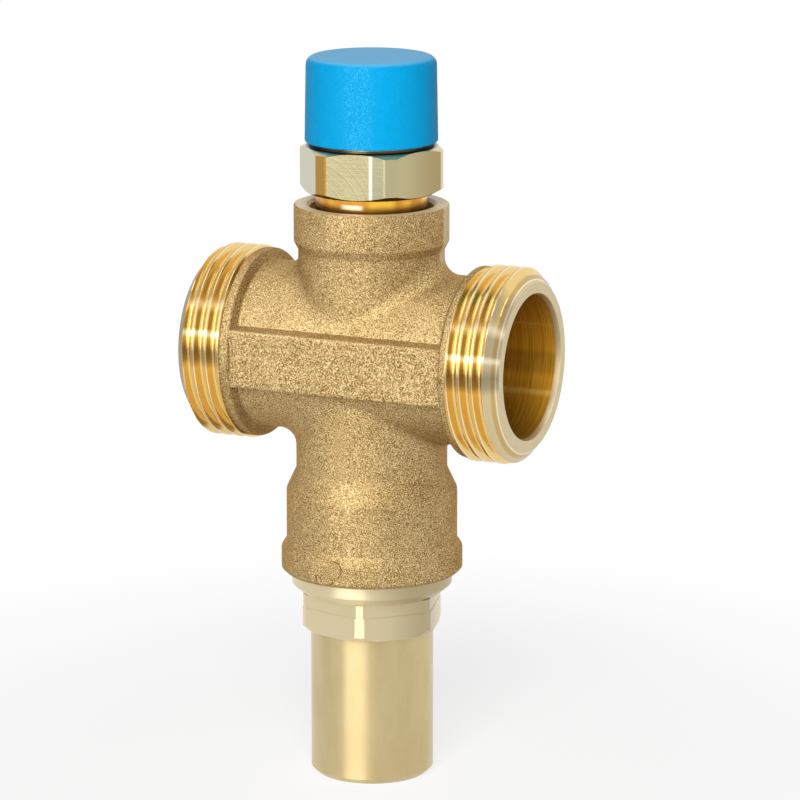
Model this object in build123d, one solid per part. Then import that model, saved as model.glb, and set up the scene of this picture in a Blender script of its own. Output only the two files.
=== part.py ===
from build123d import *
from math import radians, sqrt, tan
import os

# An anti-freeze valve in millimetres. Z runs up the valve's axis from the foot of the drain tail,
# X runs along the pipe, and the flat pad faces -Y.

# Clearances, each on the radius or along the axis
thread_clearance = 0.05
running_clearance = 0.05
loose_clearance = 0.1
stop_clearance = 0.3

# Levels up the valve's axis
tail_length = 25.6
lower_hex_height = 6.4
tail_flange_height = 3.7
pipe_axis_above_foot = 37.5
boss_reach = 25.4
vent_neck_height = 2.1
upper_hex_height = 8.0
cap_gap = 0.5
cap_height = 14.3

# The cast body and its ports
pipe_diameter = 28.4
pipe_bore = 24.2
port_reach = 29.4
port_thread_diameter = 33.0
port_thread_length = 8.7
port_chamfer_length = 2.0
port_chamfer_depth = 2.4
port_flange_width = 2.1
port_flange_slope = 0.7
port_flange_round = 0.6
port_flange_inset = 0.4
waist_diameter = 25.6
boss_root_diameter = 24.6
boss_head_diameter = 26.1
boss_head_height = 6.2
boss_step_height = 1.4
boss_step_round = 0.8
boss_edge_round = 0.3
bell_diameter = 29.0
bell_height = 14.0
bell_cone_height = 3.6
bell_rim_diameter = 30.8
bell_rim_height = 3.9
bell_step_height = 2.6
bell_rim_chamfer = 0.5
bell_rim_round = 1.0
bell_step_round = 0.8
bell_cone_round = 1.5
blend_radius = 3.2
pad_height = 10.9
pad_face_depth = 15.4
pad_draft_height = 0.6
pad_edge_round = 0.5
pad_root_inset = 4.0
pip_diameter = 3.0
pip_relief = 0.25

# The vacuum breaker
vent_thread_diameter = 20.9
vent_thread_depth = 11.8
vent_countersink = 0.5
vent_gasket_height = 1.0
vent_gasket_width = 1.3
vent_relief_depth = 1.0
upper_hex_flats = 22.0
upper_hex_turn = 10.5
upper_hex_corner_diameter = 24.3
upper_hex_edge_inset = 0.3
hex_chamfer_angle = 30.0
vent_chamber_diameter = 15.2
vent_chamber_depth = 11.4
vent_seat_bore = 9.2
vent_seat_width = 0.6
vent_seat_height = 0.4
vent_seat_floor = 3.0
nozzle_diameter = 17.2
nozzle_bore = 13.2
nozzle_height = 8.5
nozzle_chamfer = 0.6
stem_diameter = 3.0
stem_above_clip = 1.2
poppet_diameter = 12.4
poppet_height = 2.2
poppet_seal_diameter = 12.0
poppet_seal_height = 1.6
guide_height = 1.6
guide_rim_width = 1.1
guide_hub_diameter = 5.4
guide_arm_width = 1.4
guide_arms = 3
vent_spring_diameter = 4.5
vent_spring_wire = 0.4
vent_spring_height = 7.4
vent_spring_turns = 6
clip_diameter = 6.0
clip_height = 0.8
clip_groove_depth = 0.4
clip_mouth_width = 1.76

# The cap
cap_diameter = 22.3
cap_top_diameter = 21.8
cap_wall = 1.5
cap_top_wall = 1.8
cap_edge_round = 1.5
cap_rim_round = 0.3
cap_ribs = 6
cap_rib_width = 1.4
cap_rib_lead = 1.0
cap_rest_width = 1.4

# The drain cartridge
tail_diameter = 20.9
tail_bore = 15.2
tail_chamfer = 0.9
tail_bore_chamfer = 0.6
lower_hex_flats = 22.0
lower_hex_corner_diameter = 24.5
lower_hex_turn = 45.0
lower_hex_chamfer = 0.8
lower_hex_relief_height = 2.3
lower_hex_relief_depth = 0.1
tail_flange_diameter = 27.3
tail_flange_root_diameter = 24.0
tail_flange_taper_height = 1.4
tail_flange_round = 0.3
tail_thread_diameter = 24.0
tail_thread_length = 12.0
tail_thread_runout = 1.0
tail_seal_height = 1.8
tail_seal_width = 1.3
tail_seal_lift = 1.0
lower_bore = 22.0
drain_chamber_bore = 19.0
drain_seat_bore = 9.0
drain_seat_width = 1.1
drain_seat_height = 4.0
drain_floor_height = 3.7
plug_diameter = 17.8
plug_height = 1.4
plug_hub_diameter = 8.0
plug_hub_height = 4.0
plug_socket_depth = 3.2
plug_seal_diameter = 12.6
plug_seal_height = 1.6
plug_guide_length = 6.0
plug_guide_collar_height = 0.8
plug_guide_collar_diameter = 7.6
plug_guide_neck_diameter = 5.0
plug_guide_wings = 3
plug_guide_wing_width = 1.2
plug_lift = 2.5
return_spring_diameter = 14.8
return_spring_wire = 0.9
return_spring_turns = 4

# The cage and the thermostatic element
cage_ring_height = 2.0
cage_ring_width = 1.9
cage_rim_height = 1.2
cage_rim_diameter = 21.2
cage_arm_width = 5.0
cage_arm_depth = 2.6
cage_shelf_above_spigot = 10.0
cage_shelf_height = 2.0
cage_hook_height = 1.7
cage_hook_reach = 1.0
element_flange_diameter = 13.8
element_flange_height = 3.6
element_lip_height = 0.6
cup_diameter = 10.4
cup_height = 15.4
cup_wall = 0.8
cup_edge_round = 1.2
nose_diameter = 7.0
nose_length = 8.0
nose_flange_height = 1.6
boot_flange_height = 0.8
boot_diameter = 5.2
boot_height = 12.6
boot_top_wall = 1.2
piston_diameter = 3.0
piston_end_room = 3.3
overtravel_spring_diameter = 12.0
overtravel_spring_wire = 1.0
overtravel_spring_height = 10.0
overtravel_spring_turns = 5
retainer_height = 1.2

# Levels that follow from the sizes above
flange_foot_z = tail_length + lower_hex_height
body_foot_z = flange_foot_z + tail_flange_height
pipe_axis_z = body_foot_z + pipe_axis_above_foot
boss_top_z = pipe_axis_z + boss_reach
upper_hex_z = boss_top_z + vent_neck_height
upper_hex_top_z = upper_hex_z + upper_hex_height
cap_rim_z = upper_hex_top_z + cap_gap
cap_top_z = cap_rim_z + cap_height
nozzle_top_z = upper_hex_top_z + nozzle_height
vent_hole_z = boss_top_z - vent_thread_depth
vent_spigot_z = vent_hole_z + vent_gasket_height
vent_seat_z = vent_spigot_z + vent_chamber_depth
vent_shelf_z = vent_seat_z + vent_seat_floor
poppet_seal_top_z = vent_seat_z - vent_seat_height
poppet_top_z = poppet_seal_top_z - poppet_seal_height
vent_spring_foot_z = vent_shelf_z + guide_height
clip_z = vent_spring_foot_z + vent_spring_height
tail_thread_top_z = body_foot_z + tail_thread_length
drain_floor_z = flange_foot_z + drain_floor_height
drain_seat_z = drain_floor_z + drain_seat_height
plug_z = drain_seat_z + plug_seal_height
plug_top_z = plug_z + plug_height
plug_hub_top_z = plug_top_z + plug_hub_height
piston_foot_z = plug_hub_top_z - plug_socket_depth
cage_ring_foot_z = plug_top_z + plug_lift + stop_clearance
shelf_top_z = tail_thread_top_z + cage_shelf_above_spigot
element_flange_top_z = shelf_top_z + element_flange_height
nose_flange_z = shelf_top_z + element_lip_height
boot_flange_z = nose_flange_z + nose_flange_height
boot_z = boot_flange_z + boot_flange_height
boot_top_z = boot_z + boot_height
cup_top_z = element_flange_top_z + cup_height
retainer_z = element_flange_top_z + overtravel_spring_height
hook_z = retainer_z + retainer_height
piston_top_z = boot_top_z - boot_top_wall - piston_end_room

# Radii that several pieces share
port_radius = port_thread_diameter / 2
tail_spigot_radius = tail_thread_diameter / 2 - thread_clearance
vent_spigot_radius = vent_thread_diameter / 2 - thread_clearance
cage_inner_radius = element_flange_diameter / 2 + loose_clearance


# Turns a closed outline about Z. Each corner is radius, height and, where it is rounded, its radius.
def turned(*corners):
    points = [(corner[0], corner[1]) for corner in corners]
    rounds = [corner[2] if len(corner) > 2 else 0 for corner in corners]
    outline = FilletPolyline(*points, radius=rounds, close=True)
    return revolve(make_face(Plane.XZ * outline), Axis.Z)


# A plain ring or washer between two levels
def ring(inner_radius, outer_radius, foot_z, head_z):
    return turned((inner_radius, foot_z), (outer_radius, foot_z), (outer_radius, head_z), (inner_radius, head_z))


def rod(radius, foot_z, head_z):
    return Pos(0, 0, (foot_z + head_z) / 2) * Cylinder(radius, head_z - foot_z)


def block(x_range, y_range, z_range):
    spans = (x_range, y_range, z_range)
    middle = [(low + high) / 2 for low, high in spans]
    size = [high - low for low, high in spans]
    return Pos(*middle) * Box(*size)


# A hexagon of bar stock between two levels
def hexagon(flats, turn, foot_z, head_z):
    outline = RegularPolygon(flats / sqrt(3), 6, rotation=turn)
    return Pos(0, 0, foot_z) * extrude(outline, head_z - foot_z)


# A helix of wire between two flat seats, with its ends ground flat. The wire is drawn with six sides.
def coil_spring(mean_diameter, wire, turns, foot_z, head_z):
    height = head_z - foot_z
    path = Pos(0, 0, foot_z) * Helix(height / turns, height, mean_diameter / 2)
    section = Plane(origin=path @ 0, z_dir=path % 0) * RegularPolygon(wire / 2, 6)
    coil = sweep(section, path=path, is_frenet=True)
    return coil & rod(mean_diameter / 2 + wire, foot_z, head_z)


# One threaded port with the cast flange behind it, turned about Z and then laid along X
def port(side):
    thread_foot = port_reach - port_thread_length
    flange_foot = thread_foot - port_flange_width
    flange_radius = port_radius - port_flange_inset
    pipe_radius = pipe_diameter / 2
    shape = turned(
        (0, 0),
        (pipe_radius, 0),
        (pipe_radius, flange_foot, port_flange_round),
        (flange_radius, flange_foot + port_flange_slope, port_flange_round),
        (flange_radius, thread_foot),
        (port_radius, thread_foot),
        (port_radius, port_reach - port_chamfer_length),
        (port_radius - port_chamfer_depth, port_reach),
        (0, port_reach),
    )
    return Pos(0, 0, pipe_axis_z) * Rot(0, 90 * side, 0) * shape


# The cast cross, with the two uprights blended into the pipe
def crossing():
    pipe = Rot(0, 90, 0) * Cylinder(pipe_diameter / 2, 2 * port_reach)
    waist = rod(waist_diameter / 2, body_foot_z + bell_height, pipe_axis_z)
    boss = rod(boss_root_diameter / 2, pipe_axis_z, boss_top_z - boss_edge_round)
    shape = Pos(0, 0, pipe_axis_z) * pipe + waist + boss
    seams = [edge for edge in shape.edges() if edge.geom_type != GeomType.CIRCLE]
    blends = [edge for edge in seams if edge.geom_type != GeomType.LINE]
    return fillet(blends, blend_radius)


def bell():
    rim_radius = bell_rim_diameter / 2
    bell_radius = bell_diameter / 2
    waist_radius = waist_diameter / 2
    rim_top = body_foot_z + bell_rim_height
    cone_foot = body_foot_z + bell_height
    return turned(
        (0, body_foot_z),
        (rim_radius - bell_rim_chamfer, body_foot_z),
        (rim_radius, body_foot_z + bell_rim_chamfer),
        (rim_radius, rim_top, bell_rim_round),
        (bell_radius, rim_top + bell_step_height / 2, bell_step_round),
        (bell_radius, cone_foot, bell_cone_round),
        (waist_radius, cone_foot + bell_cone_height, bell_cone_round),
        (waist_radius, cone_foot + bell_cone_height + 2),
        (0, cone_foot + bell_cone_height + 2),
    )


def boss_head():
    head_radius = boss_head_diameter / 2
    root_radius = boss_root_diameter / 2
    head_foot = boss_top_z - boss_head_height
    return turned(
        (0, head_foot - boss_step_height - 1),
        (root_radius, head_foot - boss_step_height - 1),
        (root_radius, head_foot - boss_step_height, boss_step_round),
        (head_radius, head_foot, boss_step_round),
        (head_radius, boss_top_z, boss_edge_round),
        (0, boss_top_z),
    )


# The flat band across the front of the casting, with drafted upper and lower sides
def pad():
    reach = port_reach - port_thread_length - port_flange_inset
    half = pad_height / 2
    root_depth = pipe_diameter / 2 - pad_root_inset
    section = Polyline(
        (-pad_face_depth, -half + pad_draft_height),
        (-pad_face_depth, half - pad_draft_height),
        (-root_depth, half + pad_draft_height),
        (-root_depth, -half - pad_draft_height),
        close=True,
    )
    band = extrude(Plane.YZ * make_face(section), reach, both=True)
    front_edges = band.faces().sort_by(Axis.Y)[0].edges().filter_by(Axis.X)
    return Pos(0, 0, pipe_axis_z) * fillet(front_edges, pad_edge_round)


# The bores of the casting, cut through whatever stands in them
def body_bores():
    pipe = Pos(0, 0, pipe_axis_z) * Rot(0, 90, 0) * Cylinder(pipe_bore / 2, 2 * port_reach)
    thread_radius = tail_thread_diameter / 2
    thread_end = tail_thread_top_z + tail_thread_runout
    lower = turned(
        (0, body_foot_z),
        (thread_radius, body_foot_z),
        (thread_radius, thread_end),
        (lower_bore / 2, thread_end + (thread_radius - lower_bore / 2)),
        (lower_bore / 2, pipe_axis_z),
        (0, pipe_axis_z),
    )
    vent_radius = vent_thread_diameter / 2
    upper = turned(
        (0, pipe_axis_z),
        (vent_radius - vent_gasket_width, pipe_axis_z),
        (vent_radius - vent_gasket_width, vent_hole_z),
        (vent_radius, vent_hole_z),
        (vent_radius, boss_top_z - vent_countersink),
        (vent_radius + vent_countersink, boss_top_z),
        (0, boss_top_z),
    )
    return pipe + lower + upper


def valve_body():
    pip_z = body_foot_z + bell_rim_height - pip_diameter / 4
    pip = Pos(0, -bell_rim_diameter / 2, pip_z) * Rot(90, 0, 0) * Cylinder(pip_diameter / 2, 2 * pip_relief)
    return crossing() + port(1) + port(-1) + bell() + boss_head() + pad() + pip - body_bores()


def vent_body():
    relief_radius = vent_spigot_radius - vent_relief_depth
    relief_foot = boss_top_z - vent_neck_height
    spigot = rod(vent_spigot_radius, vent_spigot_z, relief_foot)
    neck = rod(relief_radius, relief_foot, upper_hex_z)
    flats_radius = upper_hex_flats / 2
    corner_radius = upper_hex_corner_diameter / 2
    edge_radius = flats_radius - upper_hex_edge_inset
    chamfer = (corner_radius - edge_radius) * tan(radians(hex_chamfer_angle))
    envelope = turned(
        (0, upper_hex_z),
        (edge_radius, upper_hex_z),
        (corner_radius, upper_hex_z + chamfer),
        (corner_radius, upper_hex_top_z - chamfer),
        (edge_radius, upper_hex_top_z),
        (0, upper_hex_top_z),
    )
    head = hexagon(upper_hex_flats, upper_hex_turn, upper_hex_z, upper_hex_top_z) & envelope
    nozzle_radius = nozzle_diameter / 2
    nozzle = turned(
        (0, upper_hex_top_z),
        (nozzle_radius, upper_hex_top_z),
        (nozzle_radius, nozzle_top_z - nozzle_chamfer),
        (nozzle_radius - nozzle_chamfer, nozzle_top_z),
        (0, nozzle_top_z),
    )
    chamber = rod(vent_chamber_diameter / 2, vent_spigot_z, vent_seat_z)
    lip = ring(
        vent_seat_bore / 2, vent_seat_bore / 2 + vent_seat_width, vent_seat_z - vent_seat_height, vent_seat_z
    )
    seat_hole = rod(vent_seat_bore / 2, vent_seat_z, vent_shelf_z)
    nozzle_hole = rod(nozzle_bore / 2, vent_shelf_z, nozzle_top_z)
    return spigot + neck + head + nozzle - chamber - seat_hole - nozzle_hole + lip


def vent_body_seal():
    outer_radius = vent_spigot_radius
    return ring(vent_thread_diameter / 2 - vent_gasket_width, outer_radius, vent_hole_z, vent_spigot_z)


def vent_poppet():
    stem_radius = stem_diameter / 2
    groove_radius = stem_radius - clip_groove_depth
    stem_top_z = clip_z + clip_height + stem_above_clip
    poppet_foot_z = poppet_top_z - poppet_height
    return turned(
        (0, poppet_foot_z),
        (poppet_diameter / 2, poppet_foot_z),
        (poppet_diameter / 2, poppet_top_z),
        (stem_radius, poppet_top_z),
        (stem_radius, clip_z),
        (groove_radius, clip_z),
        (groove_radius, clip_z + clip_height),
        (stem_radius, clip_z + clip_height),
        (stem_radius, stem_top_z),
        (0, stem_top_z),
    )


def vent_poppet_seal():
    return ring(stem_diameter / 2, poppet_seal_diameter / 2, poppet_top_z, poppet_seal_top_z)


# A rim, three arms and a hub that the stem slides through
def vent_guide():
    rim_radius = nozzle_bore / 2 - running_clearance
    foot_z = vent_shelf_z
    head_z = vent_spring_foot_z
    rim = ring(rim_radius - guide_rim_width, rim_radius, foot_z, head_z)
    arm = block((0, rim_radius - guide_rim_width / 2), (-guide_arm_width / 2, guide_arm_width / 2), (foot_z, head_z))
    spider = rim + rod(guide_hub_diameter / 2, foot_z, head_z)
    for index in range(guide_arms):
        spider += Rot(0, 0, 360 / guide_arms * index) * arm
    return spider - rod(stem_diameter / 2 + running_clearance, foot_z, head_z)


def vent_spring():
    return coil_spring(vent_spring_diameter, vent_spring_wire, vent_spring_turns, vent_spring_foot_z, clip_z)


# A flat open ring, pushed into the stem's groove from the side
def vent_stem_clip():
    groove_radius = stem_diameter / 2 - clip_groove_depth
    disc = ring(groove_radius, clip_diameter / 2, clip_z, clip_z + clip_height)
    half = clip_mouth_width / 2
    mouth = block((0, clip_diameter), (-half, half), (clip_z, clip_z + clip_height))
    return disc - mouth


# A hollow cap that stands on the nozzle by six inner ribs, so air passes between them
def vent_cap():
    foot_radius = cap_diameter / 2
    top_radius = cap_top_diameter / 2
    ceiling_z = cap_top_z - cap_top_wall
    inner_top = top_radius - cap_wall
    shell = turned(
        (foot_radius - cap_wall, cap_rim_z),
        (foot_radius, cap_rim_z, cap_rim_round),
        (top_radius, cap_top_z, cap_edge_round),
        (0, cap_top_z),
        (0, ceiling_z),
        (inner_top, ceiling_z),
    )
    grip_radius = nozzle_diameter / 2 + loose_clearance
    rest_radius = nozzle_diameter / 2 - nozzle_chamfer - cap_rest_width
    half = cap_rib_width / 2
    overlap = cap_wall / 2
    grip = block((grip_radius, inner_top + overlap), (-half, half), (cap_rim_z + cap_rib_lead, nozzle_top_z))
    rest = block((rest_radius, inner_top + overlap), (-half, half), (nozzle_top_z, ceiling_z + overlap))
    for index in range(cap_ribs):
        shell += Rot(0, 0, 360 / cap_ribs * index) * (grip + rest)
    return shell


def drain_tail():
    tail_radius = tail_diameter / 2
    tail = turned(
        (0, 0),
        (tail_radius - tail_chamfer, 0),
        (tail_radius, tail_chamfer),
        (tail_radius, tail_length),
        (0, tail_length),
    )
    corner_radius = lower_hex_corner_diameter / 2
    envelope = turned(
        (0, tail_length),
        (corner_radius - lower_hex_chamfer, tail_length),
        (corner_radius, tail_length + lower_hex_chamfer),
        (corner_radius, flange_foot_z),
        (0, flange_foot_z),
    )
    relief_z = flange_foot_z - lower_hex_relief_height
    relief_flats = lower_hex_flats - 2 * lower_hex_relief_depth
    head = hexagon(lower_hex_flats, lower_hex_turn, tail_length, relief_z)
    head += hexagon(relief_flats, lower_hex_turn, relief_z, flange_foot_z)
    head &= envelope
    flange_radius = tail_flange_diameter / 2
    seal_foot = body_foot_z + tail_seal_lift
    seal_head = seal_foot + tail_seal_height
    groove_radius = tail_spigot_radius - tail_seal_width
    upper = turned(
        (0, flange_foot_z),
        (tail_flange_root_diameter / 2, flange_foot_z),
        (flange_radius, flange_foot_z + tail_flange_taper_height, tail_flange_round),
        (flange_radius, body_foot_z),
        (tail_spigot_radius, body_foot_z),
        (tail_spigot_radius, seal_foot),
        (groove_radius, seal_foot),
        (groove_radius, seal_head),
        (tail_spigot_radius, seal_head),
        (tail_spigot_radius, tail_thread_top_z),
        (0, tail_thread_top_z),
    )
    seat_radius = drain_seat_bore / 2
    outlet_radius = tail_bore / 2
    outlet_end = flange_foot_z - (outlet_radius - seat_radius) / 2
    hollow = turned(
        (0, 0),
        (outlet_radius + tail_bore_chamfer, 0),
        (outlet_radius, tail_bore_chamfer),
        (outlet_radius, outlet_end),
        (seat_radius, flange_foot_z),
        (seat_radius, drain_seat_z),
        (seat_radius + drain_seat_width, drain_seat_z),
        (seat_radius + drain_seat_width, drain_floor_z),
        (drain_chamber_bore / 2, drain_floor_z),
        (drain_chamber_bore / 2, tail_thread_top_z),
        (0, tail_thread_top_z),
    )
    return tail + head + upper - hollow


def drain_tail_seal():
    foot_z = body_foot_z + tail_seal_lift
    groove_radius = tail_spigot_radius - tail_seal_width
    return ring(groove_radius, tail_spigot_radius, foot_z, foot_z + tail_seal_height)


def drain_plug():
    socket_radius = piston_diameter / 2 + running_clearance
    neck_radius = plug_guide_neck_diameter / 2
    neck_top_z = plug_z + plug_height
    return turned(
        (neck_radius, plug_z),
        (plug_diameter / 2, plug_z),
        (plug_diameter / 2, plug_top_z),
        (plug_hub_diameter / 2, plug_top_z),
        (plug_hub_diameter / 2, plug_hub_top_z),
        (socket_radius, plug_hub_top_z),
        (socket_radius, piston_foot_z),
        (0, piston_foot_z),
        (0, neck_top_z),
        (neck_radius, neck_top_z),
    )


def drain_plug_seal():
    return ring(plug_guide_neck_diameter / 2, plug_seal_diameter / 2, drain_seat_z, plug_z)


# The neck is pressed into the plug, the collar clamps the washer, and the wings run in the seat
def plug_guide():
    collar_foot = drain_seat_z - plug_guide_collar_height
    wing_foot = collar_foot - plug_guide_length
    collar = rod(plug_guide_collar_diameter / 2, collar_foot, drain_seat_z)
    neck = rod(plug_guide_neck_diameter / 2, drain_seat_z, plug_top_z)
    wing_reach = drain_seat_bore / 2 - running_clearance
    half = plug_guide_wing_width / 2
    wing = block((0, wing_reach + half), (-half, half), (wing_foot, collar_foot))
    guide = collar + neck
    for index in range(plug_guide_wings):
        wing_at = Rot(0, 0, 360 / plug_guide_wings * index) * wing
        guide += wing_at & rod(wing_reach, wing_foot, collar_foot)
    return guide


def return_spring():
    return coil_spring(return_spring_diameter, return_spring_wire, return_spring_turns, drain_floor_z, plug_z)


# A moulded cage: a ring pressed into the cartridge, two arms in line with the flow, a shelf and two hooks
def element_cage():
    ring_radius = drain_chamber_bore / 2 - thread_clearance
    rim_top = tail_thread_top_z + cage_rim_height
    inner_radius = ring_radius - cage_ring_width
    base = ring(inner_radius, ring_radius, cage_ring_foot_z, tail_thread_top_z)
    rim = ring(inner_radius, cage_rim_diameter / 2, tail_thread_top_z, rim_top)
    arm_outer = cage_inner_radius + cage_arm_depth
    hook_top = hook_z + cage_hook_height
    half = cage_arm_width / 2
    tube = ring(cage_inner_radius, arm_outer, tail_thread_top_z, hook_top)
    hooks = ring(cage_inner_radius - cage_hook_reach, arm_outer, hook_z, hook_top)
    strip = block((-arm_outer, arm_outer), (-half, half), (tail_thread_top_z, hook_top))
    shelf_foot = shelf_top_z - cage_shelf_height
    nose_hole = nose_diameter / 2 + loose_clearance
    shelf = ring(nose_hole, cage_inner_radius + loose_clearance, shelf_foot, shelf_top_z)
    return base + rim + (tube & strip) + (hooks & strip) + shelf


def element_cup():
    flange_radius = element_flange_diameter / 2
    shell_radius = cup_diameter / 2
    inner_radius = shell_radius - cup_wall
    nest_radius = flange_radius - cup_wall
    return turned(
        (nose_diameter / 2 + running_clearance, shelf_top_z),
        (flange_radius, shelf_top_z),
        (flange_radius, element_flange_top_z),
        (shell_radius, element_flange_top_z),
        (shell_radius, cup_top_z, cup_edge_round),
        (0, cup_top_z),
        (0, cup_top_z - cup_wall),
        (inner_radius, cup_top_z - cup_wall),
        (inner_radius, boot_z),
        (nest_radius, boot_z),
        (nest_radius, nose_flange_z),
        (nose_diameter / 2 + running_clearance, nose_flange_z),
    )


def element_guide():
    nest_radius = element_flange_diameter / 2 - cup_wall - running_clearance
    bore_radius = piston_diameter / 2 + running_clearance
    nose_foot = shelf_top_z - nose_length
    return turned(
        (bore_radius, nose_foot),
        (nose_diameter / 2, nose_foot),
        (nose_diameter / 2, nose_flange_z),
        (nest_radius, nose_flange_z),
        (nest_radius, boot_flange_z),
        (bore_radius, boot_flange_z),
    )


def element_boot():
    nest_radius = element_flange_diameter / 2 - cup_wall - running_clearance
    bore_radius = piston_diameter / 2 + running_clearance
    return turned(
        (bore_radius, boot_flange_z),
        (nest_radius, boot_flange_z),
        (nest_radius, boot_z),
        (boot_diameter / 2, boot_z),
        (boot_diameter / 2, boot_top_z),
        (0, boot_top_z),
        (0, boot_top_z - boot_top_wall),
        (bore_radius, boot_top_z - boot_top_wall),
    )


def wax_charge():
    outer_radius = cup_diameter / 2 - cup_wall - running_clearance
    top_z = cup_top_z - cup_wall - running_clearance
    return turned(
        (boot_diameter / 2 + running_clearance, boot_z),
        (outer_radius, boot_z),
        (outer_radius, top_z),
        (0, top_z),
        (0, boot_top_z + running_clearance),
        (boot_diameter / 2 + running_clearance, boot_top_z + running_clearance),
    )


def element_piston():
    return rod(piston_diameter / 2, piston_foot_z, piston_top_z)


def overtravel_spring():
    return coil_spring(
        overtravel_spring_diameter,
        overtravel_spring_wire,
        overtravel_spring_turns,
        element_flange_top_z,
        retainer_z,
    )


def spring_retainer():
    hole_radius = cup_diameter / 2 + loose_clearance
    return ring(hole_radius, element_flange_diameter / 2, retainer_z, hook_z)


pieces = [
    valve_body,
    vent_body,
    vent_body_seal,
    vent_poppet,
    vent_poppet_seal,
    vent_guide,
    vent_spring,
    vent_stem_clip,
    vent_cap,
    drain_tail,
    drain_tail_seal,
    drain_plug,
    drain_plug_seal,
    plug_guide,
    return_spring,
    element_cage,
    element_cup,
    element_guide,
    element_boot,
    wax_charge,
    element_piston,
    overtravel_spring,
    spring_retainer,
]

os.makedirs("parts", exist_ok=True)
for piece in pieces:
    export_step(piece(), f"parts/{piece.__name__}.step")
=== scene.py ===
import math

import bmesh
import bpy
from mathutils import Euler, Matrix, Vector


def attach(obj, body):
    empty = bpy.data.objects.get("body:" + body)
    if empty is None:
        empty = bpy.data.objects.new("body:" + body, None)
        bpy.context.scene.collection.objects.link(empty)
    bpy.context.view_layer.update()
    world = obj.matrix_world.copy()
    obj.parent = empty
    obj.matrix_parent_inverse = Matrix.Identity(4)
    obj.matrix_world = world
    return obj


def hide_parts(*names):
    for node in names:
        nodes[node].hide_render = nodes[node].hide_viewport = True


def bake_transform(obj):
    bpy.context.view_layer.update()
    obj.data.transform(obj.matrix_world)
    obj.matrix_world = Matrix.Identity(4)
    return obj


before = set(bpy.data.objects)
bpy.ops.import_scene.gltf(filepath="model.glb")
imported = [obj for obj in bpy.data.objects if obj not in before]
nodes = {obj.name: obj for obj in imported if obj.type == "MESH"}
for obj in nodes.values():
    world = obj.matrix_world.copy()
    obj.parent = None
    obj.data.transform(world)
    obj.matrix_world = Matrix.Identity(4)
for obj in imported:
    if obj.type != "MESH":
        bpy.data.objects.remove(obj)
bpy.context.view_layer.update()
print("valve: frame loaded,", len(nodes), "nodes")

mm = 0.001  # the valve's sizes below are in millimetres
pipeAxis = 73.2
scene = bpy.context.scene


def tint(red, green, blue):  # a colour as seen on a screen, 0 to 255, made linear
    def linear(level):
        level /= 255
        return level / 12.92 if level <= 0.04045 else ((level + 0.055) / 1.055) ** 2.4

    return (linear(red), linear(green), linear(blue), 1.0)


class Wire:  # an output that can be added, multiplied and compared; each sign adds its Math node
    def __init__(self, tree, socket):
        self.tree = tree
        self.socket = socket

    def maths(self, operation, *values, first=None):
        inputs = [self if first is None else first, *values]
        return self.tree.node("ShaderNodeMath", {"operation": operation}, dict(enumerate(inputs)))

    def __add__(self, other):
        return self.maths("ADD", other)

    def __sub__(self, other):
        return self.maths("SUBTRACT", other)

    def __mul__(self, other):
        return self.maths("MULTIPLY", other)

    def __truediv__(self, other):
        return self.maths("DIVIDE", other)

    __radd__ = __add__
    __rmul__ = __mul__

    def __rsub__(self, other):
        return self.maths("SUBTRACT", self, first=other)

    def __rtruediv__(self, other):
        return self.maths("DIVIDE", self, first=other)

    def __gt__(self, other):
        return self.maths("GREATER_THAN", other)

    def __lt__(self, other):
        return self.maths("LESS_THAN", other)

    def __abs__(self):
        return self.maths("ABSOLUTE")

    def root(self):
        return self.maths("SQRT")

    def most(self, other):
        return self.maths("MAXIMUM", other)

    def ease(self, low, high, fromValue=0.0, toValue=1.0):  # a smooth step between two levels
        settings = {"interpolation_type": "SMOOTHSTEP"}
        values = {0: self, 1: low, 2: high, 3: fromValue, 4: toValue}
        return self.tree.node("ShaderNodeMapRange", settings, values)

    def between(self, low, full, fullTo, high):  # one from full to fullTo, and eased off on both sides
        return self.ease(low, full) * self.ease(fullTo, high, 1.0, 0.0)


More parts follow.
